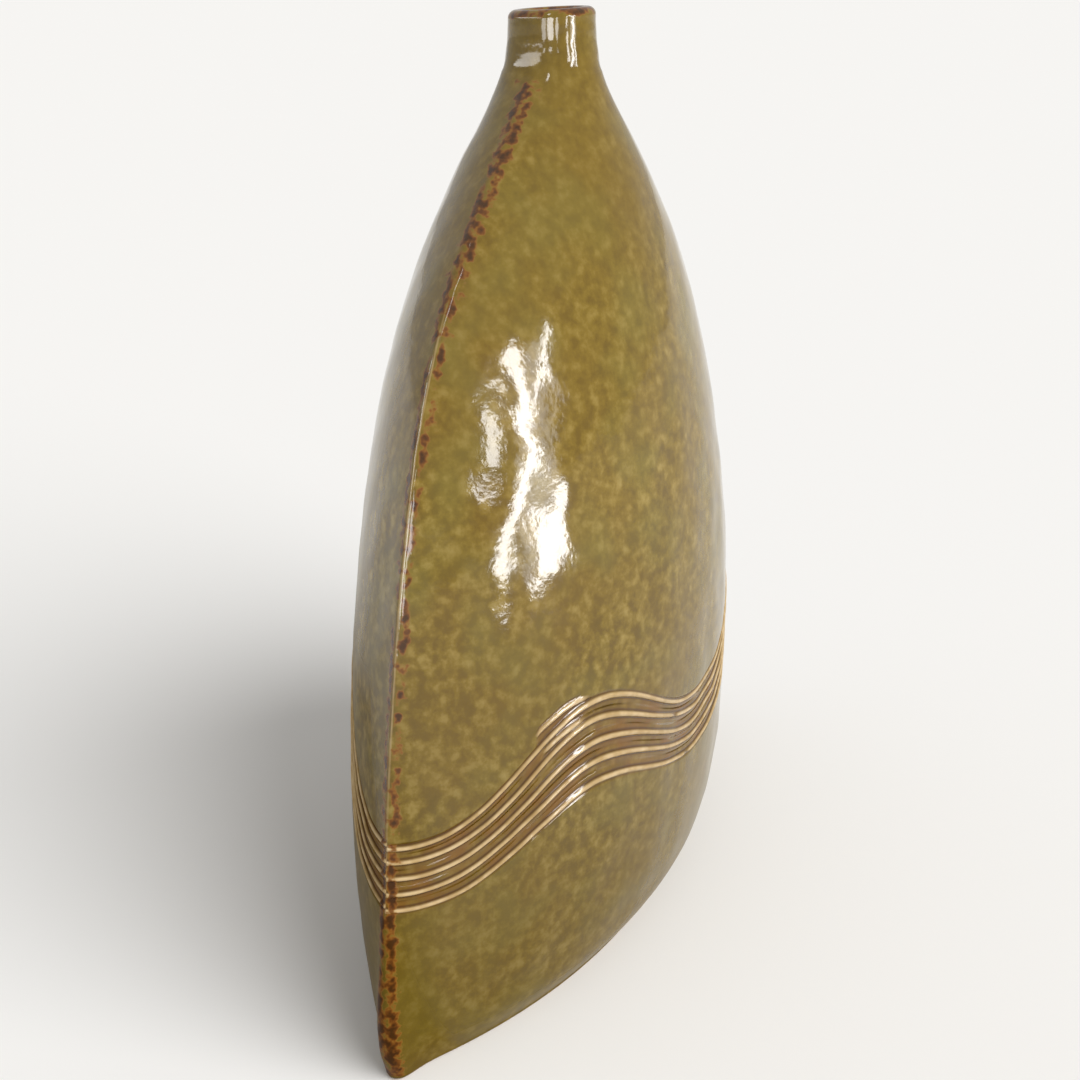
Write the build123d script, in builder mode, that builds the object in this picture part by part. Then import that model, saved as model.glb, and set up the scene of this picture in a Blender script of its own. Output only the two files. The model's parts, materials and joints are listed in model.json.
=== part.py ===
"""Slab-built pillow vase: two pillowed clay walls joined along sharp side seams, on a
pointed-oval base slab, with a short round neck and a wave band combed into both faces.

Frame: origin at the centre of the foot, +Z up, +X across the seams, -Y out of the front face.
All sizes are millimetres.
"""

import math
import os

from build123d import *

# Overall sizes
vase_height = 340.0
seam_width = 284.0
belly_depth = 128.0

# Clay thickness and the slip-filled gap left between pieces whose joint is curved
wall = 5.5
base_thickness = 7.0
slip_gap = 0.2

# Neck collar
neck_bore = 18.0
neck_wall = 5.8
neck_height = 20.0
neck_foot_height = 12.0
lip_radius = 2.4
spigot_wall = 2.4
spigot_depth = 6.0

# Seam strips, pressed into a V cut along each outside edge
seam_strip_face = 3.4
seam_strip_depth = 3.2

# Coils pressed into the inside corners
seam_coil_leg = 7.0
floor_coil_leg = 6.0
floor_coil_edge = 0.8
coil_end_gap = 0.4

# Foot
foot_round = 2.5
foot_rim_width = 9.0
foot_recess_depth = 1.5

# Wave band: crests left standing between combed grooves; its shares are of half the width there
comb_height = 93.3
comb_pitch = 6.8
comb_crest_width = 1.3
comb_depth = 0.9
comb_edge_groove = 2.6
comb_crests = 5
comb_end_margin = 2.0
wave_amplitude = 12.4
wave_fan = 1.1
wave_rise = 6.3
wave_length_share = 0.74
wave_lead_share = 0.25
wave_ease_share = 0.3

# Body outline: share of the shoulder height, of half the seam width and of half the belly depth
body_shares = [
    (0.000, 0.972, 0.720),
    (0.032, 0.993, 0.835),
    (0.085, 1.000, 0.922),
    (0.170, 0.986, 0.984),
    (0.287, 0.955, 1.000),
    (0.425, 0.902, 0.990),
    (0.563, 0.832, 0.922),
    (0.701, 0.722, 0.793),
    (0.829, 0.537, 0.612),
    (0.914, 0.341, 0.450),
    (0.967, 0.206, 0.326),
]
wall_stations = 15
wave_points = 37
seam_coil_top_share = 0.86

# Derived sizes
bore_radius = neck_bore / 2
neck_radius = bore_radius + neck_wall
spigot_radius = bore_radius + spigot_wall
shoulder_radius = spigot_radius + slip_gap + wall
shoulder_height = vase_height - neck_height
half_width = seam_width / 2
half_depth = belly_depth / 2
cut_overrun = wall

outline = [(h * shoulder_height, w * half_width, d * half_depth) for h, w, d in body_shares]
outline.append((shoulder_height, shoulder_radius, shoulder_radius))


def slope(column, row):
    """Slope of an outline column at a row, from the parabola through its neighbours."""
    last = len(outline) - 1
    low, mid, high = max(row - 1, 0), row, min(row + 1, last)
    if row in (0, last):
        return (outline[high][column] - outline[low][column]) / (outline[high][0] - outline[low][0])
    run_low = outline[mid][0] - outline[low][0]
    run_high = outline[high][0] - outline[mid][0]
    rise_low = (outline[mid][column] - outline[low][column]) / run_low
    rise_high = (outline[high][column] - outline[mid][column]) / run_high
    return (rise_low * run_high + rise_high * run_low) / (run_low + run_high)


def lens_at(height):
    """Half width and half depth of the body at a height: cubic pieces through the outline."""
    row = max(i for i in range(len(outline) - 1) if outline[i][0] <= height or i == 0)
    span = outline[row + 1][0] - outline[row][0]
    t = (height - outline[row][0]) / span
    sizes = []
    for column in (1, 2):
        start, end = outline[row][column], outline[row + 1][column]
        lift_start, lift_end = slope(column, row) * span, slope(column, row + 1) * span
        sizes.append(
            start * (2 * t**3 - 3 * t**2 + 1)
            + lift_start * (t**3 - 2 * t**2 + t)
            + end * (3 * t**2 - 2 * t**3)
            + lift_end * (t**3 - t**2)
        )
    return sizes


class Lens:
    """One level of the body: a pointed oval of two arcs that meet at the seams."""

    def __init__(self, height, inset=0.0):
        self.width, self.depth = lens_at(height)
        self.radius = (self.width**2 + self.depth**2) / (2 * self.depth)
        self.drop = self.radius - self.depth
        self.radius -= inset
        self.depth -= inset
        self.tip = math.sqrt(self.radius**2 - self.drop**2)

    def angle(self, distance):
        """Angle from the arc's crown to the point that lies a distance along it from the tip."""
        return math.atan2(self.tip, self.drop) - distance / self.radius

    def point(self, distance):
        """Point on the right half of the front arc, a distance along it from the tip."""
        turn = self.angle(distance)
        return (self.radius * math.sin(turn), self.drop - self.radius * math.cos(turn))

    def crown(self):
        """Middle of the front arc."""
        return (0, -self.depth)


def mirrored(point):
    """The same point on the left half."""
    return (-point[0], point[1])


def flipped(point):
    """The same point on the back half."""
    return (point[0], -point[1])


def oval_face(height, inset):
    """A whole pointed oval at a height, with its sides drawn in by an inset."""
    level = Lens(height, inset)
    left, right = (-level.tip, 0), (level.tip, 0)
    with BuildSketch(Plane.XY.offset(height)) as oval:
        with BuildLine():
            ThreePointArc(left, level.crown(), right)
            ThreePointArc(right, flipped(level.crown()), left)
        make_face()
    return oval.sketch


def spread(start, end, count):
    """Evenly spaced heights from start to end."""
    return [start + (end - start) * i / (count - 1) for i in range(count)]


wall_heights = spread(base_thickness, shoulder_height, wall_stations)


def wave_height(x, crest):
    """Height of a comb line at x: equal waves each side of a trough at mid-face, over a slow rise."""
    step = (comb_crests - 1) / 2 - crest
    face_share = x / lens_at(comb_height)[0]
    rise = wave_rise * math.cos(math.pi * face_share / 2)
    waves_along = (math.hypot(face_share, wave_ease_share) - wave_lead_share) / wave_length_share
    swing = (wave_amplitude + wave_fan * step) * math.cos(2 * math.pi * waves_along)
    return comb_height + comb_pitch * step + rise - swing


# Core of the body, as deep as the floors of the combed grooves
with BuildPart() as groove_core:
    for height in wall_heights:
        add(oval_face(height, comb_depth))
    loft()

# Combed grooves, as the clay that the comb takes out of one face
groove_reach = Lens(comb_height).point(seam_strip_face + comb_end_margin)[0]
groove_xs = spread(-groove_reach, groove_reach, wave_points)
half_crest = comb_crest_width / 2
groove_edges = [(-comb_edge_groove - half_crest, -half_crest, 0, 0)]
for crest in range(comb_crests - 1):
    groove_edges.append((half_crest, -half_crest, crest, crest + 1))
groove_edges.append((half_crest, half_crest + comb_edge_groove, comb_crests - 1, comb_crests - 1))

with BuildPart() as comb_cut:
    for above, below, upper_crest, lower_crest in groove_edges:
        upper = [(x, wave_height(x, upper_crest) - above) for x in groove_xs]
        lower = [(x, wave_height(x, lower_crest) - below) for x in groove_xs]
        with BuildSketch(Plane.XZ):
            with BuildLine():
                Spline(*upper)
                Line(upper[-1], lower[-1])
                Spline(*reversed(lower))
                Line(lower[0], upper[0])
            make_face()
        extrude(amount=half_depth + cut_overrun)
    add(groove_core.part, mode=Mode.SUBTRACT)

# Front wall: a pillowed slab with a bevelled edge along each seam
with BuildPart() as front_wall:
    for height in wall_heights:
        outer = Lens(height)
        inner = Lens(height, wall)
        edge = outer.point(seam_strip_face)
        groove_bottom = (outer.tip - seam_strip_depth, 0)
        inner_tip = (inner.tip, 0)
        with BuildSketch(Plane.XY.offset(height)):
            with BuildLine():
                ThreePointArc(mirrored(edge), outer.crown(), edge)
                Line(edge, groove_bottom)
                Line(groove_bottom, inner_tip)
                ThreePointArc(inner_tip, inner.crown(), mirrored(inner_tip))
                Line(mirrored(inner_tip), mirrored(groove_bottom))
                Line(mirrored(groove_bottom), mirrored(edge))
            make_face()
    loft()
    add(comb_cut.part, mode=Mode.SUBTRACT)
front_wall.part.label = "front_wall"

# Back wall: the front wall mirrored across the seam plane
with BuildPart() as back_wall:
    add(front_wall.part.mirror(Plane.XZ))
back_wall.part.label = "back_wall"

# Right seam strip: a roll of clay pressed into the V, standing as the sharp side ridge
with BuildPart() as right_seam_strip:
    for height in wall_heights:
        outer = Lens(height)
        edge = outer.point(seam_strip_face - slip_gap)
        root = (outer.tip - seam_strip_depth + 2 * slip_gap, 0)
        nose = (outer.tip, 0)
        with BuildSketch(Plane.XY.offset(height)):
            with BuildLine():
                Line(root, edge)
                ThreePointArc(edge, nose, flipped(edge))
                Line(flipped(edge), root)
            make_face()
    loft()
right_seam_strip.part.label = "right_seam_strip"

with BuildPart() as left_seam_strip:
    add(right_seam_strip.part.mirror(Plane.YZ))
left_seam_strip.part.label = "left_seam_strip"

# Base slab: the pointed oval that both walls stand on, rounded at the foot
with BuildPart() as base_slab:
    foot_levels = [
        (0, foot_round),
        (foot_round * (1 - math.cos(math.radians(45))), foot_round * (1 - math.sin(math.radians(45)))),
        (foot_round, 0),
        (base_thickness, 0),
    ]
    for height, inset in foot_levels:
        level = Lens(height, inset)
        edge = level.point(seam_strip_face)
        nose = (level.tip, 0)
        with BuildSketch(Plane.XY.offset(height)):
            with BuildLine():
                ThreePointArc(mirrored(edge), level.crown(), edge)
                ThreePointArc(edge, nose, flipped(edge))
                ThreePointArc(flipped(edge), flipped(level.crown()), mirrored(flipped(edge)))
                ThreePointArc(mirrored(flipped(edge)), mirrored(nose), mirrored(edge))
            make_face()
    loft(ruled=True)
    add(oval_face(0, foot_round + foot_rim_width))
    extrude(amount=foot_recess_depth, mode=Mode.SUBTRACT)
base_slab.part.label = "base_slab"

# Floor coil: a fillet of clay pressed into the corner between the base slab and the walls
floor_coil_top = base_thickness + floor_coil_leg
coil_outside = wall + slip_gap
with BuildPart() as floor_coil:
    add(oval_face(base_thickness, coil_outside))
    add(oval_face(floor_coil_top, coil_outside))
    loft(ruled=True)
    add(oval_face(base_thickness, coil_outside + floor_coil_leg))
    add(oval_face(floor_coil_top, coil_outside + floor_coil_edge))
    loft(ruled=True, mode=Mode.SUBTRACT)
floor_coil.part.label = "floor_coil"

# Right seam coil: a roll of clay pressed along the inside of the seam, from the floor coil up
with BuildPart() as right_seam_coil:
    for height in wall_heights:
        level = Lens(height, coil_outside)
        leg = level.point(seam_coil_leg)
        middle = level.point(seam_coil_leg / 2)
        tip = (level.tip, 0)
        with BuildSketch(Plane.XY.offset(height)):
            with BuildLine():
                ThreePointArc(leg, middle, tip)
                ThreePointArc(tip, flipped(middle), flipped(leg))
                Line(flipped(leg), leg)
            make_face()
    loft()
    split(bisect_by=Plane.XY.offset(floor_coil_top + coil_end_gap), keep=Keep.TOP)
    split(bisect_by=Plane.XY.offset(seam_coil_top_share * shoulder_height), keep=Keep.BOTTOM)
right_seam_coil.part.label = "right_seam_coil"

with BuildPart() as left_seam_coil:
    add(right_seam_coil.part.mirror(Plane.YZ))
left_seam_coil.part.label = "left_seam_coil"

# Neck collar: a thrown ring that stands on the shoulder, with a spigot down inside it
neck_foot_top = shoulder_height + neck_foot_height
spigot_end = shoulder_height - spigot_depth
shoulder_edge = (shoulder_radius, shoulder_height)
with BuildPart() as neck_collar:
    with BuildSketch(Plane.XZ):
        with BuildLine():
            Line((bore_radius, spigot_end), (spigot_radius, spigot_end))
            Polyline((spigot_radius, spigot_end), (spigot_radius, shoulder_height), shoulder_edge)
            TangentArc((neck_radius, neck_foot_top), shoulder_edge, tangent=(0, -1))
            Polyline((neck_radius, neck_foot_top), (neck_radius, vase_height), (bore_radius, vase_height))
            Line((bore_radius, vase_height), (bore_radius, spigot_end))
        make_face()
    revolve(axis=Axis.Z)
    fillet(neck_collar.edges().filter_by(GeomType.CIRCLE).group_by(Axis.Z)[-1], lip_radius)
neck_collar.part.label = "neck_collar"

pieces = [
    front_wall,
    back_wall,
    right_seam_strip,
    left_seam_strip,
    base_slab,
    floor_coil,
    right_seam_coil,
    left_seam_coil,
    neck_collar,
]
os.makedirs("parts", exist_ok=True)
for piece in pieces:
    export_step(piece.part, f"parts/{piece.part.label}.step")
    print(piece.part.label, "volume", round(piece.part.volume), "size", piece.part.bounding_box().size)
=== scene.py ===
# %% [markdown]
# # A pillow vase in a mottled olive glaze
#
# The vase is a hollow clay pillow: two curved walls meet in sharp side seams, stand on a
# pointed-oval base and close in to a short round neck. A wave was combed into the wet clay, and
# the pot was dipped in a glossy glaze that breaks brown and tan wherever the clay has an edge.
# The measured solids are loaded first, and every size below comes from them.

# %% Load the measured solids
import json
import math

import bpy
import numpy as np
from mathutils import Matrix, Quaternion, Vector


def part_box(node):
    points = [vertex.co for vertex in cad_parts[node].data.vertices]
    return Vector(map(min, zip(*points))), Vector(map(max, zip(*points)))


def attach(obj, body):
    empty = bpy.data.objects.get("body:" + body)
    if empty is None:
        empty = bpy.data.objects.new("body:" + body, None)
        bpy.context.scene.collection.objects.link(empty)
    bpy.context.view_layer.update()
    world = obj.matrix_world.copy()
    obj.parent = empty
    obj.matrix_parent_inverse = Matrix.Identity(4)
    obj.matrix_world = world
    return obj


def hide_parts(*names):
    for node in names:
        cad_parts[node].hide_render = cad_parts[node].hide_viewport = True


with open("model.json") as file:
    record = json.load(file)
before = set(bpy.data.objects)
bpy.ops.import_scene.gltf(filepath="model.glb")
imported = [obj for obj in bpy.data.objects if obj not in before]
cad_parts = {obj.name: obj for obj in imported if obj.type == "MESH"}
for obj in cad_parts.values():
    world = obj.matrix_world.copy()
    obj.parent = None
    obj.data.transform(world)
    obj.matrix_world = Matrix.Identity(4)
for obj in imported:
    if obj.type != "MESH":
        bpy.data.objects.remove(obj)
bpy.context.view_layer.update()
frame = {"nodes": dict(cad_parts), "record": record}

# %% [markdown]
# ## Sizes
#
# Shapes are worked out in millimetres and scaled to metres once, when a mesh is made. A solid's
# box gives most sizes. The shares of the body's outline are the same as in the solids, so the
# skin below lies on them. A box can't show a size inside a piece, so a few are repeated here.

# %% Sizes in millimetres
MM = 0.001


def node_box(name):
    """Lowest and highest corner of a solid, in millimetres."""
    low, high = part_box(name)
    return np.array(low) / MM, np.array(high) / MM


neck_low, neck_high = node_box("neck_collar")
rim_height = neck_high[2]
spigot_end = neck_low[2]
shoulder_radius = neck_high[0]
shoulder_height = node_box("front_wall")[1][2]
base_top = node_box("base_slab")[1][2]
half_width = node_box("right_seam_strip")[1][0]
half_depth = -node_box("front_wall")[0][1]
bore_radius = frame["record"]["mounts"][0]["dims"]["r_mm"]
wall_thickness = 5.5
neck_thickness = 5.8
print("rim at", round(rim_height, 1), "shoulder at", round(shoulder_height, 1), "mm")

# %% [markdown]
# ## The body's outline
#
# Seen from above, every level of the body is a pointed oval: two arcs that meet at the seams. Its
# half width and half depth change with height. Stations give both, and cubic pieces join them,
# so the outline has no kinks. The last stations belong to the neck, where both are its radius.

# %% Stations of the outline
body_shares = np.array([
    (0.000, 0.972, 0.720),
    (0.032, 0.993, 0.835),
    (0.085, 1.000, 0.922),
    (0.170, 0.986, 0.984),
    (0.287, 0.955, 1.000),
    (0.425, 0.902, 0.990),
    (0.563, 0.832, 0.922),
    (0.701, 0.722, 0.793),
    (0.829, 0.537, 0.612),
    (0.914, 0.341, 0.450),
    (0.967, 0.206, 0.326),
])
neck_shares = np.array([(0.0, 1.0), (0.30, 0.36), (0.62, 0.04), (1.0, 0.0)])

neck_radius = bore_radius + neck_thickness
neck_height = rim_height - shoulder_height
neck_stations = neck_radius + (shoulder_radius - neck_radius) * neck_shares[:, 1]
neck_z = shoulder_height + neck_shares[:, 0] * neck_height
station_z = np.concatenate([body_shares[:, 0] * shoulder_height, neck_z])
station_width = np.concatenate([body_shares[:, 1] * half_width, neck_stations])
station_depth = np.concatenate([body_shares[:, 2] * half_depth, neck_stations])
print(len(station_z), "stations from the foot to the rim")


# %% Pointed oval at any height
def follow(stations, z):
    """Value at height z: a cubic between two stations, with slopes of parabolas through neighbours."""
    slopes = np.gradient(stations, station_z)
    row = np.clip(np.searchsorted(station_z, z, side="right") - 1, 0, len(station_z) - 2)
    span = station_z[row + 1] - station_z[row]
    t = (z - station_z[row]) / span
    start = stations[row] * (2 * t**3 - 3 * t**2 + 1) + slopes[row] * span * (t**3 - 2 * t**2 + t)
    return start + stations[row + 1] * (3 * t**2 - 2 * t**3) + slopes[row + 1] * span * (t**3 - t**2)


def oval(z):
    """Radius of both arcs, distance of their centres from the seam plane, and half their angle."""
    width, depth = follow(station_width, z), follow(station_depth, z)
    radius = (width**2 + depth**2) / (2 * depth)
    offset = np.maximum(radius - depth, 0.002 * radius)
    return radius, offset, np.arctan2(width, offset)


comb_height = 93.3
comb_half_width = follow(station_width, comb_height)
print("the wave band is", round(2 * comb_half_width), "mm from seam to seam")

# %% [markdown]
# ## Clay that was shaped by hand
#
# No slab of clay is perfectly fair. A few dozen sine waves, running in random directions with
# random phases, add slow swells that bend reflections and shorter ripples that break them up. Faint
# rings run round the neck. The random draws are seeded, so each run gives the same pot.

# %% Swells and ripples
chance = np.random.default_rng(7)


def make_waves(count, shortest, longest):
    """Wave vectors in radians per millimetre, and phases, for waves of random length and direction."""
    direction = chance.normal(size=(count, 3))
    direction /= np.linalg.norm(direction, axis=1, keepdims=True)
    length = chance.uniform(shortest, longest, size=(count, 1))
    return 2 * np.pi * direction / length, chance.uniform(0, 2 * np.pi, size=count)


def sum_waves(waves, *where):
    """Sum of sines of the waves' phases at points, scaled so that its typical size is 1."""
    vectors, phases = waves
    total = 0.0
    for vector, phase in zip(vectors, phases):
        total = total + np.sin(sum(v * w for v, w in zip(vector, where)) + phase)
    return total * math.sqrt(2 / len(phases))


def smooth_step(t):
    """0 below 0, 1 above 1 and an S-curve between: three squares less two cubes."""
    t = np.clip(t, 0, 1)
    return t * t * (3 - 2 * t)


swells = make_waves(14, 70, 170)
ripples = make_waves(20, 11, 28)
beads = make_waves(12, 6, 16)
strokes = make_waves(10, 30, 90)
swell_height = 0.30
ripple_height = 0.085
bead_height = 0.20
ring_height = 0.04
ring_spacing = 6.5
ring_slant = 9
ring_start = 8
print("swells of", swell_height, "mm and ripples of", ripple_height, "mm")

# %% [markdown]
# ## The combed wave
#
# A comb with five gaps was drawn across the wet clay, so five thin crests stand between its grooves.
# Each line waves up and down across a face and sinks to a trough near both seams. A line is not
# drawn as a curve. Instead each point of the face is told how many lines it lies above the middle
# one, and the relief is a function of that number alone: a crest at every whole number.

# %% Which comb line a point lies on
comb_pitch = 6.8
comb_crests = 5
wave_amplitude = 12.4
wave_fan = 1.1
wave_rise = 6.3
wave_length = 0.74
wave_lead = 0.25
wave_ease = 0.3
hand_drift = 0.3
face_offset = 0.2
last_crest = (comb_crests - 1) / 2


def comb_wave(x, side):
    """Height of the middle line and the lines' spacing: a cosine along the face over a slow rise.

    Each side reads the hand's drift from a place of its own in the strokes' waves.
    """
    share = x / comb_half_width
    along = (np.hypot(share, wave_ease) - wave_lead) / wave_length
    swing = np.cos(2 * np.pi * along)
    drift = hand_drift * sum_waves(strokes, x, 40 * side, 0) + face_offset * side
    middle = comb_height + wave_rise * np.cos(np.pi * share / 2) - wave_amplitude * swing + drift
    return middle, comb_pitch - wave_fan * swing


# %% Relief of the comb
comb_depth = 0.80
crest_rise = 0.35
crest_share = 0.118
groove_edge = 0.2
cut_depth = 0.20
cut_place = 0.205
cut_share = 0.065
band_margin = 0.12
band_fade = 0.22
line_wobble = 0.04
depth_wobble = 0.10
gap_length = 2.2
crest_start = 1.4
crest_fade = 9.0
short_crests = [(-95.2, 2.85, -0.026, 14.0), (-92.5, 1.6, -0.012, 9.0)]
crest_gaps = [(-17.0, -2), (-29.0, 1)]


def comb_relief(x, z, side):
    """Relief in millimetres, and how much of a point is crest, groove floor and cut beside a crest.

    Each crest has a bell-shaped section between hollow grooves, with a narrow cut at each foot. On the
    front the potter set the comb down again, which left two short crests: each starts bluntly at an x
    and a step, drifts down by so many steps a millimetre and fades out after a run.
    """
    middle, spacing = comb_wave(x, side)
    step = (z - middle) / spacing
    front = side < 0
    line = np.clip(np.round(step), -last_crest, last_crest)
    away = np.abs(step - line - line_wobble * sum_waves(strokes, x, 90 * line, 40 * side))
    firm = 1 + depth_wobble * sum_waves(strokes, x, 60 * line, 200 * side)
    crest = np.exp(-((away / crest_share) ** 2))
    for gap_x, gap_line in crest_gaps:
        gap = np.exp(-(((x - gap_x) / gap_length) ** 2)) * (line == gap_line) * front
        crest = crest * (1 - gap)
    top = last_crest + 0 * step
    for start, first_step, slope, run in short_crests:
        past = x - start
        there = smooth_step(past / crest_start) * (1 - smooth_step((past - run) / crest_fade)) * front
        beside = np.abs(step - first_step - slope * past)
        crest = np.maximum(crest, there * np.exp(-((beside / crest_share) ** 2)))
        away = np.where(there > 0.3, np.minimum(away, beside), away)
        top = np.maximum(top, last_crest + there * (first_step + slope * past - last_crest))
    floor = 1 - smooth_step((step - top - band_margin) / band_fade)
    floor = floor * (1 - smooth_step((-step - last_crest - band_margin) / band_fade))
    cut = np.exp(-(((away - cut_place) / cut_share) ** 2)) * floor
    hollow = 0.5 - 0.5 * np.cos(2 * np.pi * np.minimum(away, 0.5))
    sunk = comb_depth * floor * (groove_edge + (1 - groove_edge) * hollow)
    height = crest * (crest_rise + groove_edge * comb_depth) - sunk - cut_depth * cut
    return height * firm, crest, floor * (1 - crest), cut


print("comb lines", comb_pitch, "mm apart,", comb_crests, "crests")

# %% [markdown]
# ## The skin
#
# One function gives the whole outside of the vase: how far around, and how high. Pieces are cut out
# of this one skin, so their edges meet exactly and the joints don't show under the glaze. The
# seams are rounded by a smooth minimum of the two arcs' distances from the middle of the pot.
# Towards the foot and the neck the ridge is rounder and fuller, where more slip was pressed in.

# %% Sizes of the ridge
foot_reach = 75
neck_start = 240
neck_run = 35
ridge_rounding = 0.6
foot_rounding = 2.1
neck_rounding = 1.5
ridge_width = 3.4
foot_widening = 6.0
foot_fill = 3.0
neck_fill = 0.6
least_lumps = 0.35
calm_reach = 30
calm_share = 0.6
comb_loss = 0.7
comb_loss_width = 1.8
print("the ridge is rounded by", ridge_rounding, "mm, and more at the foot and the neck")


# %% The outside of the pot
def place_on(around):
    """Side (-1 front, 1 back) and share of that face (-1 left seam, 1 right seam).

    Around runs from -1 to 1 over the front, from left to right, and from 1 to 3 over the back.
    """
    turned = (around + 1) % 4 - 1
    back = turned > 1
    return np.where(back, 1.0, -1.0), np.where(back, 2 - turned, turned)


def ridge_share(across, z, width, beside=0.0):
    """1 on a seam or beside it, falling as a bell with distance along the face; 0 at the round neck."""
    radius, offset, half_angle = oval(z)
    distance = (1 - np.abs(across)) * half_angle * radius
    return np.exp(-(((distance - beside) / width) ** 2)) * smooth_step(offset / radius / 0.05)


def near_foot(z, reach):
    """1 on the floor, falling to 0 at a height: how much the clay was pressed down there."""
    return 1 - smooth_step(z / reach)


def near_neck(z):
    """0 below the shoulder, rising to 1 where the seams run up to the neck."""
    return smooth_step((z - neck_start) / neck_run)


def skin(around, z):
    """Outside point: on its face's arc, rounded at the seam, then lifted along the normal.

    The rounding is a smooth minimum with the other face's arc along the same line from the axis.
    Swells, ripples, the ridge's fullness and the comb's relief are added up as the lift.
    """
    side, across = place_on(around)
    radius, offset, half_angle = oval(z)
    turn = half_angle * across
    x = radius * np.sin(turn)
    y = side * (radius * np.cos(turn) - offset)
    relief = comb_relief(x, z, side)[0]
    reach = np.hypot(x, y)
    other = offset * np.abs(y) / reach + np.sqrt(radius**2 - (offset * x / reach) ** 2)
    foot, neck = near_foot(z, foot_reach), near_neck(z)
    soft = ridge_rounding + foot_rounding * foot + neck_rounding * neck
    soft = soft * smooth_step(offset / radius / 0.5) + 1e-6
    apart = np.minimum((other - reach) / soft, 60)
    shrink = 1 - soft * np.log1p(np.exp(-apart)) / reach
    lean = 2 / (1 + np.exp(-apart)) - 1
    x, y = x * shrink, y * shrink
    normal_x, normal_y = np.sin(turn), side * np.cos(turn) * lean
    length = np.hypot(normal_x, normal_y)
    free = smooth_step(z / calm_reach) * (1 - calm_share * smooth_step((z - shoulder_height) / neck_height))
    lift = free * (swell_height * sum_waves(swells, x, y, z) + ripple_height * sum_waves(ripples, x, y, z))
    lumps = bead_height * np.maximum(least_lumps, neck) * sum_waves(beads, x, y, z)
    fill = neck_fill * neck + foot_fill * foot + lumps
    lift = lift + fill * ridge_share(across, z, ridge_width + foot_widening * foot)
    on_neck = smooth_step((z - shoulder_height) / ring_start)
    lift = lift + on_neck * ring_height * np.sin(2 * np.pi * z / ring_spacing + x / ring_slant)
    lift = lift + relief * (1 - comb_loss * ridge_share(across, z, comb_loss_width))
    return np.stack([x + lift * normal_x / length, y + lift * normal_y / length, z + 0 * x], axis=-1)


def skin_normal(around, z):
    """Unit normal: the cross product of two short steps on the skin, one around and one up."""
    radius, _, half_angle = oval(z)
    short = 0.03
    nudge = short / (radius * half_angle)
    sideways = skin(around + nudge, z) - skin(around - nudge, z)
    upwards = skin(around, z + short) - skin(around, z - short)
    normal = np.cross(sideways, upwards)
    return normal / np.linalg.norm(normal, axis=-1, keepdims=True)


print("left seam at the foot:", skin(np.array(-1.0), np.array(4.0)).round(1))


# %% Marks that the glaze follows
mark_width = 2.2
neck_mark_width = 1.6
foot_mark_width = 1.0
mark_beside = 2.4
mark_closing = 0.9
foot_mark_reach = 110
strong_reach = 150
seam_line_width = 0.6
seam_line_share = 0.45


def glaze_marks(around, z):
    """How much of each point is crest, groove, cut and ridge, for the glaze's colours.

    The ridge's mark is strongest just beside the seam. Between the wave and the shoulder it lies a little
    further from the seam, and a thin line on the seam itself counts as a crest there.
    """
    side, across = place_on(around)
    radius, _, half_angle = oval(z)
    _, crest, groove, cut = comb_relief(radius * np.sin(half_angle * across), z, side)
    neck, foot = near_neck(z), near_foot(z, foot_mark_reach)
    strong = np.maximum(neck, near_foot(z, strong_reach))
    width = mark_width + neck_mark_width * neck + foot_mark_width * foot
    ridge = ridge_share(across, z, width, mark_beside - mark_closing * strong)
    line = ridge_share(across, z, seam_line_width) * (1 - strong)
    return {
        "crest": np.maximum(crest, seam_line_share * line),
        "groove": groove,
        "cut": cut,
        "ridge": ridge * (0.95 + 0.05 * strong + 0.25 * np.maximum(foot, groove)),
    }


print("marks for the glaze:", ", ".join(glaze_marks(np.array(0.0), np.array(100.0))))

# %% [markdown]
# ## From arrays to meshes
#
# Each piece is a stack of closed rings of points. Neighbouring rings are joined by quads, worked out
# as whole arrays of indices. The signed volume tells whether the faces point outwards, and if it is
# negative every face is turned round. Outside points get the skin's own normals, so that two
# pieces shade alike along their joint. The glaze's marks are stored on the points as attributes.

# %% Mesh helpers
pieces = {}


def ring_quads(rows, columns, closed=False):
    """Quads between neighbouring closed rings, and between the last and the first if closed."""
    index = np.arange(rows * columns).reshape(rows, columns)
    if closed:
        index = np.vstack([index, index[:1]])
    beside = np.roll(index, -1, axis=1)
    return np.stack([index[:-1], beside[:-1], beside[1:], index[1:]], axis=-1).reshape(-1, 4)


def end_caps(out, home, rows, columns):
    """Quads across the first and last ring, between the outside's columns and those that lead home."""
    cap = np.stack([out[:-1], home[:-1], home[1:], out[1:]], axis=-1)
    return np.vstack([cap, cap[:, ::-1] + (rows - 1) * columns])


def signed_volume(points, quads):
    """Volume under the faces: a sixth of the triple product of each triangle's corners."""
    a, b, c, d = (points[quads[:, i]] for i in range(4))
    six = np.einsum("ij,ij->i", a, np.cross(b, c)) + np.einsum("ij,ij->i", a, np.cross(c, d))
    return six.sum() / 6


def store_mark(mesh, title, values):
    """Store a number for each point of a mesh as an attribute."""
    layer = mesh.attributes.new(title, "FLOAT", "POINT")
    layer.data.foreach_set("value", values.astype(np.float32).ravel())


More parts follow.
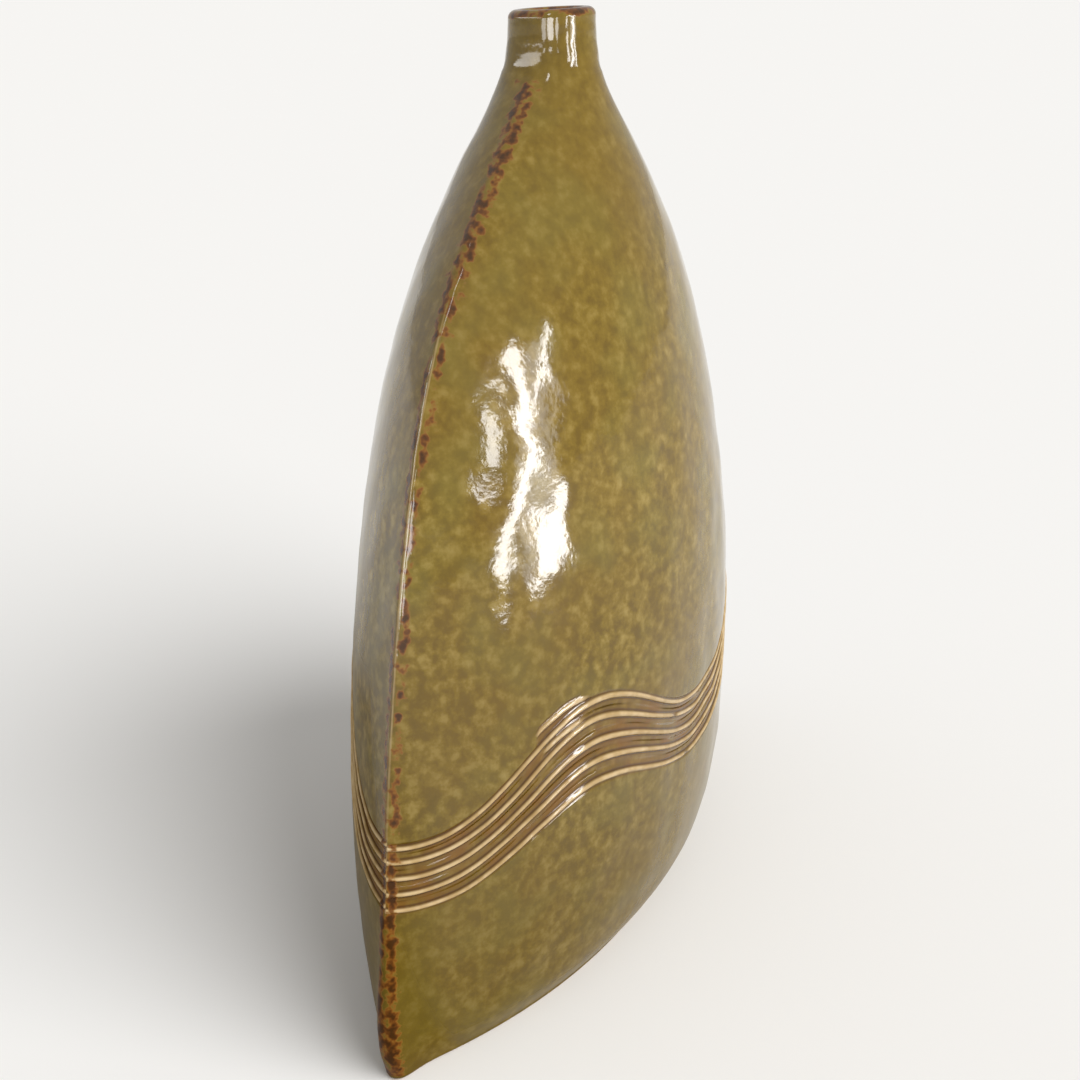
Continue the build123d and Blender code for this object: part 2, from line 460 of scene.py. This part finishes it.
def make_piece(name, rings, quads, node, around, z, inner):
    """A mesh from rings whose first columns or rows lie on the skin, at around and z.

    Around and z hold nan where a point isn't on the skin. Inner says which quads are inside the pot.
    """
    points = rings.reshape(-1, 3)
    if signed_volume(points, quads) < 0:
        quads = quads[:, ::-1]
    mesh = bpy.data.meshes.new(name)
    mesh.from_pydata((points * MM).tolist(), [], [list(dict.fromkeys(quad)) for quad in quads.tolist()])
    mesh.polygons.foreach_set("use_smooth", np.ones(len(quads), bool))
    mesh.polygons.foreach_set("material_index", inner.astype(np.int32))
    mesh.set_sharp_from_angle(angle=math.radians(40))
    on_skin = ~np.isnan(around)
    for title, values in glaze_marks(around[on_skin], z[on_skin]).items():
        everywhere = np.zeros(len(points))
        everywhere[on_skin.ravel()] = values
        store_mark(mesh, title, everywhere)
    normals = np.zeros((len(points), 3))
    normals[on_skin.ravel()] = skin_normal(around[on_skin], z[on_skin])
    mesh.normals_split_custom_set_from_vertices(normals.tolist())
    mesh.update()
    piece = bpy.data.objects.new(name, mesh)
    bpy.context.scene.collection.objects.link(piece)
    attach(piece, "root")
    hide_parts(node)
    pieces[name] = piece
    print(name, len(mesh.vertices), "points", len(mesh.polygons), "faces")


# %% [markdown]
# ## The two walls
#
# A wall is a curved slab. Its outer face is the skin, its inner face the same oval drawn in by the
# clay's thickness, and its edges are bevelled so that a seam strip fits between the two walls. The
# rows of the mesh follow the comb's lines and crowd at each crest. So crests stay crisp without
# millions of faces.

# %% Rows and columns of a wall
WALL_COLUMNS = 190
LOWER_ROWS = 26
UPPER_ROWS = 80
seam_strip_face = 3.4
seam_strip_depth = 3.2
wall_share = np.linspace(-1, 1, WALL_COLUMNS)
crest_rows = np.array([0.04, 0.08, 0.12, 0.165, 0.21, 0.26, 0.32, 0.40])
crest_rows = np.concatenate([-crest_rows[::-1], [0.0], crest_rows, [0.5]])
band_steps = (np.arange(comb_crests)[:, None] - last_crest + crest_rows).ravel()[:-1]
short_crest_rows = np.arange(2.46, 3.1, 0.055)
band_steps = np.concatenate([[-last_crest - 0.55], band_steps, short_crest_rows])
lower_rows = np.sin(np.linspace(-0.5, 0.5, LOWER_ROWS) * np.pi)[:-1] / 2 + 0.5
upper_rows = np.sin(np.linspace(-0.5, 0.5, UPPER_ROWS) * np.pi)[1:] / 2 + 0.5


def strip_edge(z):
    """Share of a face, from its middle, where the seam strip begins."""
    radius, _, half_angle = oval(z)
    return 1 - seam_strip_face / (radius * half_angle)


def wall_rows(columns, side):
    """Heights of the rows at each column: eased below the band, on the comb's steps, eased above.

    A comb line's height depends on x and x on the height, so the band is worked out three times over.
    """
    band = comb_height + 0 * columns
    for _ in range(3):
        radius, _, half_angle = oval(band)
        x = radius * np.sin(half_angle * columns * strip_edge(band))
        middle, spacing = comb_wave(x, side)
        band = middle + band_steps[:, None] * spacing
    lower = base_top + (band[:1] - base_top) * lower_rows[:, None]
    upper = band[-1:] + (shoulder_height - band[-1:]) * upper_rows[:, None]
    return np.concatenate([lower, band, upper])


print("rows up a wall:", len(lower_rows) + len(band_steps) + len(upper_rows))


# %% Walls
def inner_face(share, z):
    """Inner face of the front wall: the arc drawn in by the clay's thickness, to the seam plane."""
    radius, offset, _ = oval(z)
    radius = radius - wall_thickness
    turn = np.arctan2(np.sqrt(radius**2 - offset**2), offset) * share
    return np.stack([radius * np.sin(turn), offset - radius * np.cos(turn), z], axis=-1)


def groove_root(z, right):
    """Bottom of the V between the walls, in the seam plane, a set depth behind the seam."""
    x = follow(station_width, z) - seam_strip_depth
    return np.stack([x if right else -x, 0 * z, z], axis=-1)


def make_wall(name, node, side):
    """One wall as a stack of closed slices: across the skin, then home by the bevels and the inside."""
    z = wall_rows(wall_share, side)
    across = strip_edge(z) * wall_share
    around = across if side < 0 else 2 - across
    inside = inner_face(np.linspace(1, -1, WALL_COLUMNS - 2), z[:, -2:0:-1])
    home = [groove_root(z[:, -1:], True), inside, groove_root(z[:, :1], False)]
    home = np.concatenate(home, axis=1) * [1, -side, 1]
    rings = np.concatenate([skin(around, z), home], axis=1)
    rows, columns = rings.shape[:2]
    out = np.arange(WALL_COLUMNS)
    quads = ring_quads(rows, columns)
    caps = end_caps(out, columns - 1 - out, rows, columns)
    inner = np.concatenate([np.arange(len(quads)) % columns >= WALL_COLUMNS - 1, np.ones(len(caps), bool)])
    hidden = np.full_like(z, np.nan)
    around, z = np.hstack([around, hidden]), np.hstack([z, hidden])
    make_piece(name, rings, np.vstack([quads, caps]), node, around, z, inner)


make_wall("front_wall_skin", "front_wall", -1)
make_wall("back_wall_skin", "back_wall", 1)

# %% [markdown]
# ## The seam strips
#
# A roll of clay fills the V between the bevelled edges. Its nose is the sharp ridge that shows down
# each side. It takes its rows from the two walls' edge columns, so the comb lines run on to it, and
# the front's and back's lines meet there a little out of step, as lines drawn by hand do.

# %% Seam strips
STRIP_COLUMNS = 27
strip_share = np.linspace(-1, 1, STRIP_COLUMNS)


def make_strip(name, node, right):
    """One strip as a stack of closed slices: over the ridge from one wall to the other, and back."""
    corner = np.array([1.0 if right else -1.0])
    blend = (strip_share + 1) / 2
    if not right:
        blend = 1 - blend
    z = wall_rows(corner, -1) * (1 - blend) + wall_rows(corner, 1) * blend
    around = (1 if right else 3) + (1 - strip_edge(z)) * strip_share
    outer = skin(around, z)
    root = groove_root(z.mean(axis=1, keepdims=True), right)
    share = strip_share[::-1][1:-1, None]
    ends = np.where(share > 0, outer[:, -1:], outer[:, :1])
    rings = np.concatenate([outer, root + (ends - root) * np.abs(share)], axis=1)
    rows, columns = rings.shape[:2]
    out = np.arange(STRIP_COLUMNS)
    home = np.concatenate([[0], np.arange(columns - 1, STRIP_COLUMNS - 1, -1), [STRIP_COLUMNS - 1]])
    quads = ring_quads(rows, columns)
    caps = end_caps(out, home, rows, columns)
    inner = np.concatenate([np.arange(len(quads)) % columns >= STRIP_COLUMNS - 1, np.ones(len(caps), bool)])
    hidden = np.full((rows, columns - STRIP_COLUMNS), np.nan)
    around, z = np.hstack([around, hidden]), np.hstack([z, hidden])
    make_piece(name, rings, np.vstack([quads, caps]), node, around, z, inner)


make_strip("right_seam_ridge", "right_seam_strip", True)
make_strip("left_seam_ridge", "left_seam_strip", False)

# %% [markdown]
# ## The neck and the base
#
# The neck is a ring with a closed profile: up the outside, over the rounded lip, down the bore and
# around the spigot. The base is a plate: out over its top, down the side, round the foot, and in
# under the recess. Both use the columns of the walls and strips, so they meet them point to point.

# %% Columns that match the walls and strips
def joint_columns(z):
    """Around values of all wall and strip columns at one height, once round the pot."""
    edge = strip_edge(z)
    face = edge * wall_share
    over = (1 - edge) * strip_share[1:-1]
    return np.concatenate([face, 1 + over, 2 + face, 3 + over])


print(len(joint_columns(base_top)), "columns round the neck and the base")

# %% Neck
NECK_ROWS = 34
LIP_ROWS = 12
BORE_ROWS = 12
GLAZED_BORE_ROWS = 4
lip_radius = 2.7
spigot_wall = 2.4
rim_tilt = 0.05
rim_lean_x, rim_lean_y = 0.39, -0.92
lip_mark_height = 4.5
lip_mark_fade = 4.0


def make_neck():
    """Rings up the skin, two quarter circles over the lip, then straight down the bore and back up.

    The rim leans by a small slope, as it does on a neck set by hand.
    """
    around = joint_columns(shoulder_height)
    lip_start = rim_height - lip_radius
    rise = shoulder_height + (lip_start - shoulder_height) * np.linspace(0, 1, NECK_ROWS) ** 1.25
    outer = skin(around[None, :], rise[:, None])
    edge = np.linalg.norm(outer[-1, :, :2], axis=1)
    heading = outer[-1, :, :2] / edge[:, None]
    quarter = np.linspace(0, np.pi / 2, LIP_ROWS)
    mouth = bore_radius + lip_radius
    bore_z = np.linspace(lip_start, spigot_end, BORE_ROWS)[1:]
    radii = [edge - lip_radius * (1 - math.cos(t)) for t in quarter[1:]]
    radii += [mouth - lip_radius * math.sin(t) + 0 * edge for t in quarter]
    radii += [bore_radius + 0 * edge for _ in bore_z]
    radii += [bore_radius + spigot_wall + 0 * edge for _ in range(2)]
    heights = np.concatenate([
        lip_start + lip_radius * np.sin(quarter[1:]),
        rim_height - lip_radius * (1 - np.cos(quarter)),
        bore_z,
        [spigot_end, shoulder_height],
    ])
    flat = np.array(radii)[..., None] * heading
    home = np.concatenate([flat, np.broadcast_to(heights[:, None, None], flat[..., :1].shape)], axis=-1)
    rings = np.concatenate([outer, home])
    slope = rim_tilt * smooth_step((rings[..., 2] - shoulder_height) / neck_height)
    rings[..., 2] += slope * (rim_lean_x * rings[..., 0] + rim_lean_y * rings[..., 1])
    quads = ring_quads(*rings.shape[:2], closed=True)
    glazed_rows = NECK_ROWS + 2 * LIP_ROWS - 1 + GLAZED_BORE_ROWS
    around_all = np.full(rings.shape[:2], np.nan)
    z_all = around_all.copy()
    around_all[:NECK_ROWS] = around
    z_all[:NECK_ROWS] = rise[:, None]
    inner = np.arange(len(quads)) // len(around) >= glazed_rows
    make_piece("neck", rings, quads, "neck_collar", around_all, z_all, inner)
    below_rim = rim_height - np.concatenate([rise, heights])
    lip = smooth_step((lip_mark_height - below_rim) / lip_mark_fade)
    store_mark(pieces["neck"].data, "lip", np.repeat(lip, len(around)))


make_neck()

# %% Base
SIDE_ROWS = 6
FOOT_ROWS = 9
foot_round = 2.5
foot_rim_width = 9.0
foot_recess_depth = 1.5
bare_height = 1.2
bare_fade = 0.8


def make_base():
    """Rings from the middle of the top, down the skin, a quarter circle round the foot, and inwards."""
    around = joint_columns(base_top)
    side_z = np.linspace(base_top, foot_round, SIDE_ROWS)
    side = skin(around[None, :], side_z[:, None])
    edge = side[-1] * [1, 1, 0]
    along = np.roll(edge, -1, axis=0) - np.roll(edge, 1, axis=0)
    inward = np.stack([-along[:, 1], along[:, 0], 0 * along[:, 0]], axis=-1)
    inward /= np.linalg.norm(inward, axis=1, keepdims=True)
    up = np.array([0, 0, 1.0])
    quarter = np.linspace(0, np.pi / 2, FOOT_ROWS)[1:, None, None]
    foot = edge + foot_round * (inward * (1 - np.cos(quarter)) + up * (1 - np.sin(quarter)))
    rim = foot[-1]
    rim_share = 1 - foot_rim_width / station_depth[0]
    below = [rim * (1 + rim_share) / 2, rim * rim_share]
    below += [rim * share + up * foot_recess_depth for share in (rim_share - 0.02, 0.45, 0.15, 0.0)]
    above = [side[0] * [share, share, 1] for share in (0.0, 0.5, 0.94)]
    rings = np.concatenate([np.array(above), side, foot, np.array(below)])
    rows, columns = rings.shape[:2]
    quads = ring_quads(rows, columns)
    quads = np.where(quads < columns, 0, quads)
    quads = np.where(quads >= (rows - 1) * columns, (rows - 1) * columns, quads)
    around_all = np.full((rows, columns), np.nan)
    z_all = around_all.copy()
    side_end = len(above) + SIDE_ROWS
    around_all[len(above):side_end] = around
    z_all[len(above):side_end] = side_z[:, None]
    inner = np.arange(len(quads)) // columns < len(above)
    make_piece("base", rings, quads, "base_slab", around_all, z_all, inner)
    bare = smooth_step((bare_height - rings[..., 2]) / bare_fade)
    bare[-len(below):] = 1
    bare[:side_end] = 0
    store_mark(pieces["base"].data, "bare", bare)


make_base()

# %% [markdown]
# ## Glaze and clay
#
# A reactive glaze settles into freckles of light and dark while it is molten. It runs thin over every
# edge, where the clay and its iron show through as tan and brown. Colours are written as sRGB hex
# and turned to linear light by one function, and one function adds every node.

# %% Colours and nodes
def colour(code):
    """Linear colour of an sRGB hex code."""
    parts = [int(code[i:i + 2], 16) / 255 for i in (1, 3, 5)]
    return [c / 12.92 if c <= 0.04045 else ((c + 0.055) / 1.055) ** 2.4 for c in parts] + [1.0]


MIX = {"data_type": "RGBA"}
PRODUCT = {"operation": "MULTIPLY"}
PRODUCT_AND_SUM = {"operation": "MULTIPLY_ADD"}


def per_metre(millimetres):
    """Texture scale whose features are about that many millimetres across."""
    return 1 / (millimetres * MM)


def add(tree, kind, out=0, settings=None, stops=None, **inputs):
    """Add a node, set its properties and ramp stops, fill or link its inputs, and return an output.

    An input is named with _ for a space, or i and its number where several share a name.
    """
    node = tree.nodes.new(kind)
    for title, value in (settings or {}).items():
        setattr(node, title, value)
    for position, code in stops or ():
        elements = node.color_ramp.elements
        end = elements[-1 if position else 0]
        stop = elements.new(position) if 0 < position < 1 else end
        stop.color = colour(code)
    for title, value in inputs.items():
        socket = node.inputs[int(title[1:]) if title[1:].isdigit() else title.replace("_", " ")]
        if isinstance(value, bpy.types.NodeSocket):
            tree.links.new(value, socket)
        else:
            socket.default_value = value
    return node.outputs[out]


def new_material(name):
    """An empty node material and its tree."""
    material = bpy.data.materials.new(name)
    material.use_nodes = True
    material.node_tree.nodes.clear()
    return material, material.node_tree


# %% [markdown]
# ### Reactive glaze
#
# Stoneware dipped in a glossy glaze and fired once. Pale round freckles a few millimetres wide lie in
# clear olive glass. Thin vertical streaks show where it ran. On the ridge and the lip it breaks into
# rust-brown spots with dark hearts, on the crests it is so thin that tan clay shows, and beside each
# crest it pools brown, darkened further by painted shade. Painted shade also darkens it low down and high
# up.
# The surface is as smooth as glass, with a faint orange-peel unevenness.

# %% Reactive glaze
glaze, tree = new_material("reactive_olive_glaze_on_stoneware")
place = add(tree, "ShaderNodeTexCoord", "Object")
across, side, height = (add(tree, "ShaderNodeSeparateXYZ", axis, Vector=place) for axis in "XYZ")

# Freckles stand out most on the lower half and near the left seam, and less at the very foot
freckle = add(tree, "ShaderNodeTexNoise", Vector=place, Scale=per_metre(4.4), Detail=3.0, Roughness=0.6)
vivid = add(tree, "ShaderNodeMapRange", Value=height, From_Min=0.23, From_Max=0.13, To_Min=0.75)
off_the_foot = add(tree, "ShaderNodeMapRange", Value=height, From_Min=0.04, From_Max=0.11, To_Min=0.8)
near_the_seam = add(tree, "ShaderNodeMapRange", Value=across, From_Min=-0.02, From_Max=-0.09, To_Min=0.6)
vivid = add(tree, "ShaderNodeMath", settings=PRODUCT, i0=vivid, i1=off_the_foot)
vivid = add(tree, "ShaderNodeMath", settings=PRODUCT, i0=vivid, i1=near_the_seam)
fine = add(tree, "ShaderNodeMix", i0=vivid, i2=0.49, i3=freckle)
cells = add(tree, "ShaderNodeTexVoronoi", "Distance", Vector=place, Scale=per_metre(5.5))
blob = add(
    tree, "ShaderNodeMapRange", Value=cells,
    From_Min=0.50, From_Max=0.10, To_Min=-0.055, To_Max=0.105,
)
fine = add(tree, "ShaderNodeMath", settings=PRODUCT_AND_SUM, i0=blob, i1=vivid, i2=fine)

# Streaks are the same kind of noise, drawn out along the height
drawn_out = add(tree, "ShaderNodeMapping", Vector=place, Scale=(1.0, 1.0, 0.15))
streak = add(tree, "ShaderNodeTexNoise", Vector=drawn_out, Scale=per_metre(3.2), Detail=2.0)
tone = add(tree, "ShaderNodeMix", i0=0.16, i2=fine, i3=streak)
olive = add(
    tree, "ShaderNodeValToRGB", i0=tone,
    stops=[(0.0, "#4C3A08"), (0.40, "#675111"), (0.50, "#7C651C"), (0.60, "#937C39"), (1.0, "#B8A468")],
)

# Broad patches lean to brown where the glaze is thin, and to green where it is thick
drift = add(tree, "ShaderNodeTexNoise", Vector=place, Scale=per_metre(60), Detail=1.5)
warm = add(tree, "ShaderNodeMapRange", Value=drift, From_Min=0.46, From_Max=0.66, To_Max=0.40)
body = add(tree, "ShaderNodeMix", 2, MIX, i0=warm, i6=olive, i7=colour("#6F5512"))
cloud = add(tree, "ShaderNodeTexNoise", Vector=place, Scale=per_metre(24), Detail=1.5)
thick = add(tree, "ShaderNodeMapRange", Value=cloud, From_Min=0.46, From_Max=0.68, To_Max=0.30)
body = add(tree, "ShaderNodeMix", 2, MIX, i0=thick, i6=body, i7=colour("#746E33"))

# Painted shade: the glaze is darker low down, most so on the back, and darker and more golden high up
most = add(
    tree, "ShaderNodeMapRange", Value=side,
    From_Min=-0.015, From_Max=0.015, To_Min=0.55, To_Max=0.95,
)
painted_shade_low = add(tree, "ShaderNodeMapRange", Value=height, From_Min=0.19, From_Max=0.03, To_Max=most)
body = add(tree, "ShaderNodeMix", 2, MIX, i0=painted_shade_low, i6=body, i7=colour("#584614"))
# Painted shade high up: darker and more golden towards the shoulder
high = add(tree, "ShaderNodeMapRange", Value=height, From_Min=0.20, From_Max=0.29, To_Max=0.30)
body = add(tree, "ShaderNodeMix", 2, MIX, i0=high, i6=body, i7=colour("#6C560F"))

# %% Glaze in the comb band
groove = add(tree, "ShaderNodeAttribute", "Fac", {"attribute_name": "groove"})
patch = add(tree, "ShaderNodeTexNoise", Vector=place, Scale=per_metre(11), Detail=2.0)
pool = add(tree, "ShaderNodeMapRange", Value=patch, From_Min=0.40, From_Max=0.60, To_Min=0.30, To_Max=0.80)
pool = add(tree, "ShaderNodeMath", settings=PRODUCT, i0=pool, i1=groove)
body = add(tree, "ShaderNodeMix", 2, MIX, i0=pool, i6=body, i7=colour("#724A12"))
# The cuts beside each crest are dark brown: pooled glaze, and painted shade in the cut
cut = add(tree, "ShaderNodeAttribute", "Fac", {"attribute_name": "cut"})
cut = add(tree, "ShaderNodeMath", settings=PRODUCT, i0=cut, i1=0.85)
body = add(tree, "ShaderNodeMix", 2, MIX, i0=cut, i6=body, i7=colour("#45280A"))
blot = add(tree, "ShaderNodeTexNoise", Vector=place, Scale=per_metre(5.0), Detail=2.0, Roughness=0.5)
crest = add(tree, "ShaderNodeAttribute", "Fac", {"attribute_name": "crest"})
crest = add(tree, "ShaderNodeMapRange", Value=crest, From_Min=0.15, From_Max=0.60, To_Max=0.95)
tan = add(
    tree, "ShaderNodeValToRGB", i0=blot,
    stops=[(0.0, "#9A7A49"), (0.40, "#B29565"), (0.60, "#C4A97D"), (1.0, "#D7C29B")],
)
body = add(tree, "ShaderNodeMix", 2, MIX, i0=crest, i6=body, i7=tan)

# %% Glaze that breaks brown beside the seams and on the lip
ridge = add(tree, "ShaderNodeAttribute", "Fac", {"attribute_name": "ridge"})
lip = add(tree, "ShaderNodeAttribute", "Fac", {"attribute_name": "lip"})
edge = add(tree, "ShaderNodeMath", settings={"operation": "MAXIMUM"}, i0=ridge, i1=lip)
speck = add(tree, "ShaderNodeTexNoise", Vector=place, Scale=per_metre(3.6), Detail=2.0, Roughness=0.5)
thin = add(tree, "ShaderNodeMath", settings=PRODUCT_AND_SUM, i0=edge, i1=0.37, i2=speck)
spot = add(tree, "ShaderNodeMapRange", Value=thin, From_Min=0.74, From_Max=1.0)
brown = add(
    tree, "ShaderNodeValToRGB", i0=spot,
    stops=[(0.0, "#8A6C34"), (0.30, "#80521C"), (0.60, "#603610"), (1.0, "#3E2208")],
)
gate = add(tree, "ShaderNodeMapRange", Value=edge, From_Min=0.05, From_Max=0.35, To_Max=0.95)
cover = add(tree, "ShaderNodeMapRange", Value=spot, From_Max=0.35, To_Max=gate)
body = add(tree, "ShaderNodeMix", 2, MIX, i0=cover, i6=body, i7=brown)

# %% Bare clay under the foot, gloss and unevenness
grit = add(tree, "ShaderNodeTexNoise", Vector=place, Scale=per_metre(0.9), Detail=3.0, Roughness=0.7)
clay = add(tree, "ShaderNodeValToRGB", i0=grit, stops=[(0.0, "#6E5138"), (0.5, "#93724F"), (1.0, "#B8966E")])
bare = add(tree, "ShaderNodeAttribute", "Fac", {"attribute_name": "bare"})
body = add(tree, "ShaderNodeMix", 2, MIX, i0=bare, i6=body, i7=clay)

# Towards the foot the glaze is thin and drier, so it mirrors less of the floor, and most so on the back
shift = add(
    tree, "ShaderNodeMapRange", Value=side,
    From_Min=-0.015, From_Max=0.015, To_Min=-0.04, To_Max=0.09,
)
level = add(tree, "ShaderNodeMath", settings={"operation": "SUBTRACT"}, i0=height, i1=shift)
dry = add(tree, "ShaderNodeMapRange", Value=level, From_Min=0.13, From_Max=0.04)
glossy = add(tree, "ShaderNodeMapRange", Value=dry, To_Min=0.09, To_Max=0.30)
rough = add(tree, "ShaderNodeMapRange", Value=bare, To_Min=glossy, To_Max=0.75)
mirror = add(tree, "ShaderNodeMapRange", Value=dry, To_Min=0.5, To_Max=0.03)
peel = add(tree, "ShaderNodeTexNoise", Vector=place, Scale=per_metre(5), Detail=3.0, Roughness=0.52)
uneven = add(tree, "ShaderNodeBump", Strength=0.22, Distance=0.0004, Height=peel)
shader = add(
    tree, "ShaderNodeBsdfPrincipled",
    Base_Color=body, Roughness=rough, Specular_IOR_Level=mirror, IOR=1.53, Normal=uneven,
)
surface = tree.nodes.new("ShaderNodeOutputMaterial")
tree.links.new(shader, surface.inputs["Surface"])
print(glaze.name, len(tree.nodes), "nodes")

# %% [markdown]
# ### Liner glaze
#
# The inside was swilled with a thin brown glaze to make the pot watertight. It is seen only down
# the bore, so a soft mottle in two browns is enough.

# %% Liner glaze
liner, tree = new_material("thin_liner_glaze_on_stoneware")
place = add(tree, "ShaderNodeTexCoord", "Object")
mottle = add(tree, "ShaderNodeTexNoise", Vector=place, Scale=per_metre(8), Detail=3.0, Roughness=0.6)
browns = [(0.0, "#4A3117"), (0.5, "#6B4C28"), (1.0, "#8C6A3F")]
tint = add(tree, "ShaderNodeValToRGB", i0=mottle, stops=browns)
shader = add(tree, "ShaderNodeBsdfPrincipled", Base_Color=tint, Roughness=0.3, IOR=1.5)
surface = tree.nodes.new("ShaderNodeOutputMaterial")
tree.links.new(shader, surface.inputs["Surface"])

for piece in pieces.values():
    piece.data.materials.append(glaze)
    piece.data.materials.append(liner)
for node in ("floor_coil", "right_seam_coil", "left_seam_coil"):
    frame["nodes"][node].data.materials.clear()
    frame["nodes"][node].data.materials.append(liner)
print(len(pieces), "pieces glazed")

# %% [markdown]
# ## Floor, light and camera
#
# The vase stands on a plain pale floor in a pale room. One wide, soft light from the front does all
# the lighting, so the floor is evenly bright however far it runs. A glossy glaze also shows what
# stands around it. So window panes, a curtain and pale cards stand where the bright patches on the
# belly, the near seam and the neck are mirrored from. They are seen in reflections and light nothing.

# %% Floor and room
scene = bpy.context.scene
scene.view_settings.view_transform = "Standard"

floor_mesh = bpy.data.meshes.new("floor")
floor_reach = 30.0
corners = [(x * floor_reach, y * floor_reach, 0) for x, y in ((-1, -1), (1, -1), (1, 1), (-1, 1))]
floor_mesh.from_pydata(corners, [], [(0, 1, 2, 3)])
floor = bpy.data.objects.new("floor", floor_mesh)
scene.collection.objects.link(floor)
paper, tree = new_material("pale_matt_paper")
shader = add(
    tree, "ShaderNodeBsdfPrincipled",
    Base_Color=colour("#F4F3F1"), Roughness=0.9, Specular_IOR_Level=0.0,
)
surface = tree.nodes.new("ShaderNodeOutputMaterial")
tree.links.new(shader, surface.inputs["Surface"])
floor_mesh.materials.append(paper)

world = bpy.data.worlds.new("pale_room")
scene.world = world
world.use_nodes = True
tree = world.node_tree
seen = add(tree, "ShaderNodeLightPath", "Is Camera Ray")
for kind in ("Is Glossy Ray", "Is Transmission Ray"):
    ray = add(tree, "ShaderNodeLightPath", kind)
    seen = add(tree, "ShaderNodeMath", settings={"operation": "ADD"}, i0=seen, i1=ray)
strength = add(tree, "ShaderNodeMapRange", Value=seen, To_Min=0.50, To_Max=0.66)
tree.nodes["Background"].inputs["Color"].default_value = colour("#F4F3F1")
tree.links.new(strength, tree.nodes["Background"].inputs["Strength"])
print("floor of", paper.name, "in a", world.name)


# %% Lamps
def soft_panel(name, place, target, width, height, brightness, roll=0.0):
    """A rectangular lamp at a place, facing a target, in millimetres; roll turns it in its own plane."""
    data = bpy.data.lights.new(name, "AREA")
    data.shape = "RECTANGLE"
    data.size = width * MM
    data.size_y = height * MM
    data.energy = brightness * math.pi * data.size * data.size_y
    lamp = bpy.data.objects.new(name, data)
    lamp.location = Vector(place) * MM
    facing = (Vector(target) * MM - lamp.location).to_track_quat("-Z", "Y")
    turned = Quaternion((0, 0, 1), math.radians(roll))
    lamp.rotation_euler = (facing @ turned).to_euler()
    scene.collection.objects.link(lamp)
    return lamp


window_turn = math.radians(-12)
window_distance = 950.0


def window_place(across, up):
    """Point of the window's plane, from its distance across and its height above the floor."""
    x = window_distance * math.sin(window_turn) + across * math.cos(window_turn)
    y = -window_distance * math.cos(window_turn) + across * math.sin(window_turn)
    return (x, y, up)


# %% Window panes and cards that the glaze mirrors
belly = (-80, -30, 205)
neck = (0, 0, 330)
seam = (0, 0, 300)
daylight = 21.0
panes = [
    soft_panel("window_upper_left", window_place(-50, 465), belly, 80, 430, daylight, roll=27),
    soft_panel("window_upper_right", window_place(75, 520), belly, 40, 240, daylight, roll=-14),
    soft_panel("window_lower_left", window_place(-110, 175), belly, 70, 310, daylight, roll=-52),
    soft_panel("window_lower_right", window_place(80, 95), belly, 150, 150, daylight),
    soft_panel("window_far_left", window_place(-262, 440), belly, 75, 260, 15.0),
]
cards = [
    soft_panel("card_behind_camera_left", (-1250, -60, 300), neck, 260, 420, 5.0),
    soft_panel("card_behind_camera", (-1200, -420, 300), neck, 330, 420, 9.0),
    soft_panel("card_behind_camera_right", (-1010, -740, 300), neck, 130, 420, 7.0),
    soft_panel("card_on_the_left", (-951, 887, 640), neck, 2200, 220, 4.5),
    soft_panel("card_above_the_seam", (-734, -129, 1365), seam, 80, 500, 9.0),
    soft_panel("curtain", window_place(10, 330), belly, 230, 580, 2.6),
]
for card in cards:
    card.data.shape = "ELLIPSE"
for lamp in panes + cards:
    lamp.visible_diffuse = False
print(len(panes), "window panes,", len(cards) - 1, "cards and a curtain to mirror")

# %% Soft light from the front
key_data = bpy.data.lights.new("key", "SUN")
key_data.energy = 2.9
key_data.angle = math.radians(50)
key = bpy.data.objects.new("key", key_data)
key.rotation_euler = Vector((0.17, 0.77, -0.62)).to_track_quat("-Z", "Y").to_euler()
key.visible_glossy = False
scene.collection.objects.link(key)

# %% Camera
camera_data = bpy.data.cameras.new("camera")
camera_data.sensor_width = 36.0
camera_data.lens = 46.02
camera_data.shift_x = -0.0109
camera = bpy.data.objects.new("camera", camera_data)
camera.location = Vector((-452.9, -192.4, 357.9)) * MM
aim = Vector((0, 0, 147.3)) * MM
camera.rotation_euler = (aim - camera.location).to_track_quat("-Z", "Y").to_euler()
scene.collection.objects.link(camera)
scene.camera = camera
print("camera", round((camera.location - aim).length / MM), "mm from the vase")
